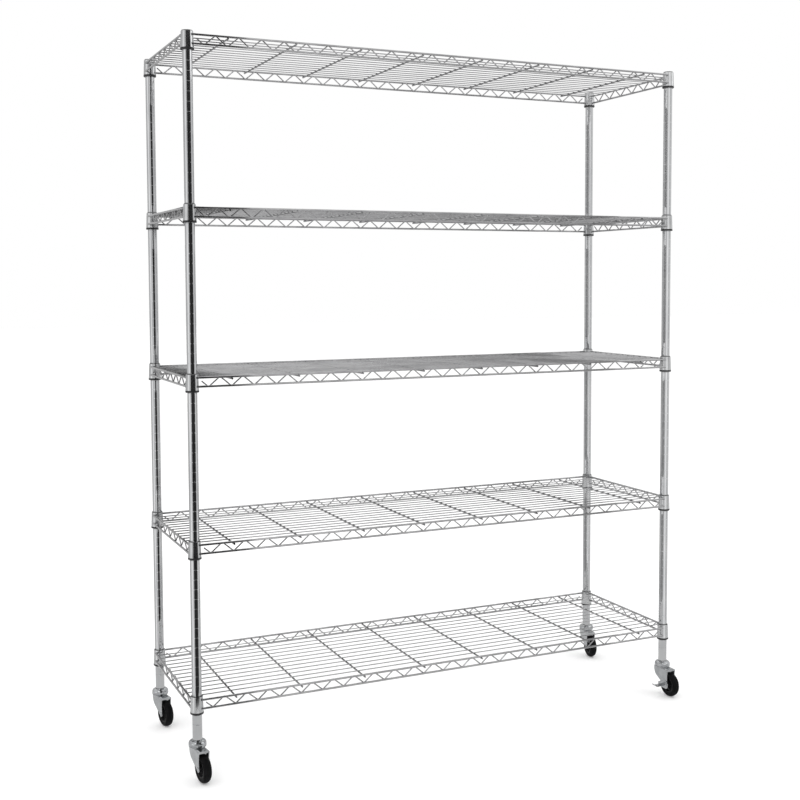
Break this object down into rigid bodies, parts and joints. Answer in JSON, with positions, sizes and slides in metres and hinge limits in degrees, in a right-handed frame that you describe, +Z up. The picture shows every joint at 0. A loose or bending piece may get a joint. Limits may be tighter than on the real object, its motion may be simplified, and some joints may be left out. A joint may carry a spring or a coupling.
{
  "type": "wire shelving rack",
  "caption": "Tall chrome wire shelving rack on swivel casters, with height-adjustable trussed shelves clipped to grooved round posts.",
  "frame": {"origin": "on the floor, midway between the four posts", "axes": "+X along the shelves to the right, +Y from the front to the back, +Z up"},
  "size_m": [1.5308, 0.5215, 1.922],
  "materials": {
    "chrome_tube": "polished",
    "chrome_wire": "bright",
    "black_plastic": "matt",
    "black_rubber": "matt",
    "grey_core": "satin",
    "zinc_steel": "satin zinc plate",
    "ball_steel": "ground"
  },
  "bodies": {
    "frame": {"post_front_left": "chrome_tube", "post_front_right": "chrome_tube", "post_back_left": "chrome_tube", "post_back_right": "chrome_tube", "post_caps": "black_plastic", "foot_inserts": "zinc_steel", "sleeves_1": "black_plastic", "sleeves_2": "black_plastic", "sleeves_3": "black_plastic", "sleeves_4": "black_plastic", "sleeves_5": "black_plastic", "caster_stems": "zinc_steel", "race_domes": "zinc_steel", "swivel_balls": "ball_steel"},
    "shelf_1": {"collars_1": "chrome_wire", "edge_rails_1": "chrome_wire", "snake_wires_1": "chrome_wire", "cross_rods_1": "chrome_wire", "deck_wires_1": "chrome_wire"},
    "shelf_2": {"collars_2": "chrome_wire", "edge_rails_2": "chrome_wire", "snake_wires_2": "chrome_wire", "cross_rods_2": "chrome_wire", "deck_wires_2": "chrome_wire"},
    "shelf_3": {"collars_3": "chrome_wire", "edge_rails_3": "chrome_wire", "snake_wires_3": "chrome_wire", "cross_rods_3": "chrome_wire", "deck_wires_3": "chrome_wire"},
    "shelf_4": {"collars_4": "chrome_wire", "edge_rails_4": "chrome_wire", "snake_wires_4": "chrome_wire", "cross_rods_4": "chrome_wire", "deck_wires_4": "chrome_wire"},
    "shelf_5": {"collars_5": "chrome_wire", "edge_rails_5": "chrome_wire", "snake_wires_5": "chrome_wire", "cross_rods_5": "chrome_wire", "deck_wires_5": "chrome_wire"},
    "swivel_front_left": {"fork_front_left": "zinc_steel", "axle_rivet_front_left": "zinc_steel"},
    "wheel_front_left": {"tyre_front_left": "black_rubber", "wheel_core_front_left": "grey_core"},
    "swivel_front_right": {"fork_front_right": "zinc_steel", "axle_rivet_front_right": "zinc_steel"},
    "wheel_front_right": {"tyre_front_right": "black_rubber", "wheel_core_front_right": "grey_core"},
    "brake": {"brake_lever_front_right": "zinc_steel"},
    "swivel_back_left": {"fork_back_left": "zinc_steel", "axle_rivet_back_left": "zinc_steel"},
    "wheel_back_left": {"tyre_back_left": "black_rubber", "wheel_core_back_left": "grey_core"},
    "swivel_back_right": {"fork_back_right": "zinc_steel", "axle_rivet_back_right": "zinc_steel"},
    "wheel_back_right": {"tyre_back_right": "black_rubber", "wheel_core_back_right": "grey_core"}
  },
  "joints": [
    {"name": "shelf_1_lift", "type": "slide", "parent": "frame", "child": "shelf_1", "axis": [0, 0, 1], "range_m": [0, 0.355]},
    {"name": "shelf_2_lift", "type": "slide", "parent": "frame", "child": "shelf_2", "axis": [0, 0, 1], "range_m": [0, 0.38]},
    {"name": "shelf_3_lift", "type": "slide", "parent": "frame", "child": "shelf_3", "axis": [0, 0, 1], "range_m": [0, 0.38]},
    {"name": "shelf_4_lift", "type": "slide", "parent": "frame", "child": "shelf_4", "axis": [0, 0, 1], "range_m": [0, 0.38]},
    {"name": "shelf_5_lift", "type": "slide", "parent": "frame", "child": "shelf_5", "axis": [0, 0, 1], "range_m": [0, 0.06]},
    {"name": "swivel_front_left_turn", "type": "hinge", "parent": "frame", "child": "swivel_front_left", "pos_m": [-0.742, -0.2125, 0.0875], "axis": [0, 0, 1], "continuous": true},
    {"name": "wheel_front_left_roll", "type": "hinge", "parent": "swivel_front_left", "child": "wheel_front_left", "pos_m": [-0.73699, -0.24815, 0.037], "axis": [0.9903, 0.1392, 0], "continuous": true},
    {"name": "swivel_front_right_turn", "type": "hinge", "parent": "frame", "child": "swivel_front_right", "pos_m": [0.742, -0.2125, 0.0875], "axis": [0, 0, 1], "continuous": true},
    {"name": "wheel_front_right_roll", "type": "hinge", "parent": "swivel_front_right", "child": "wheel_front_right", "pos_m": [0.74326, -0.24848, 0.037], "axis": [0.9994, 0.0349, 0], "continuous": true},
    {"name": "brake_press", "type": "hinge", "parent": "swivel_front_right", "child": "brake", "pos_m": [0.74326, -0.24848, 0.037], "axis": [-0.9994, -0.0349, 0], "range_deg": [0, 25]},
    {"name": "swivel_back_left_turn", "type": "hinge", "parent": "frame", "child": "swivel_back_left", "pos_m": [-0.742, 0.2125, 0.0875], "axis": [0, 0, 1], "continuous": true},
    {"name": "wheel_back_left_roll", "type": "hinge", "parent": "swivel_back_left", "child": "wheel_back_left", "pos_m": [-0.73513, 0.17716, 0.037], "axis": [0.9816, 0.1908, 0], "continuous": true},
    {"name": "swivel_back_right_turn", "type": "hinge", "parent": "frame", "child": "swivel_back_right", "pos_m": [0.742, 0.2125, 0.0875], "axis": [0, 0, 1], "continuous": true},
    {"name": "wheel_back_right_roll", "type": "hinge", "parent": "swivel_back_right", "child": "wheel_back_right", "pos_m": [0.73513, 0.17716, 0.037], "axis": [0.9816, -0.1908, 0], "continuous": true}
  ]
}
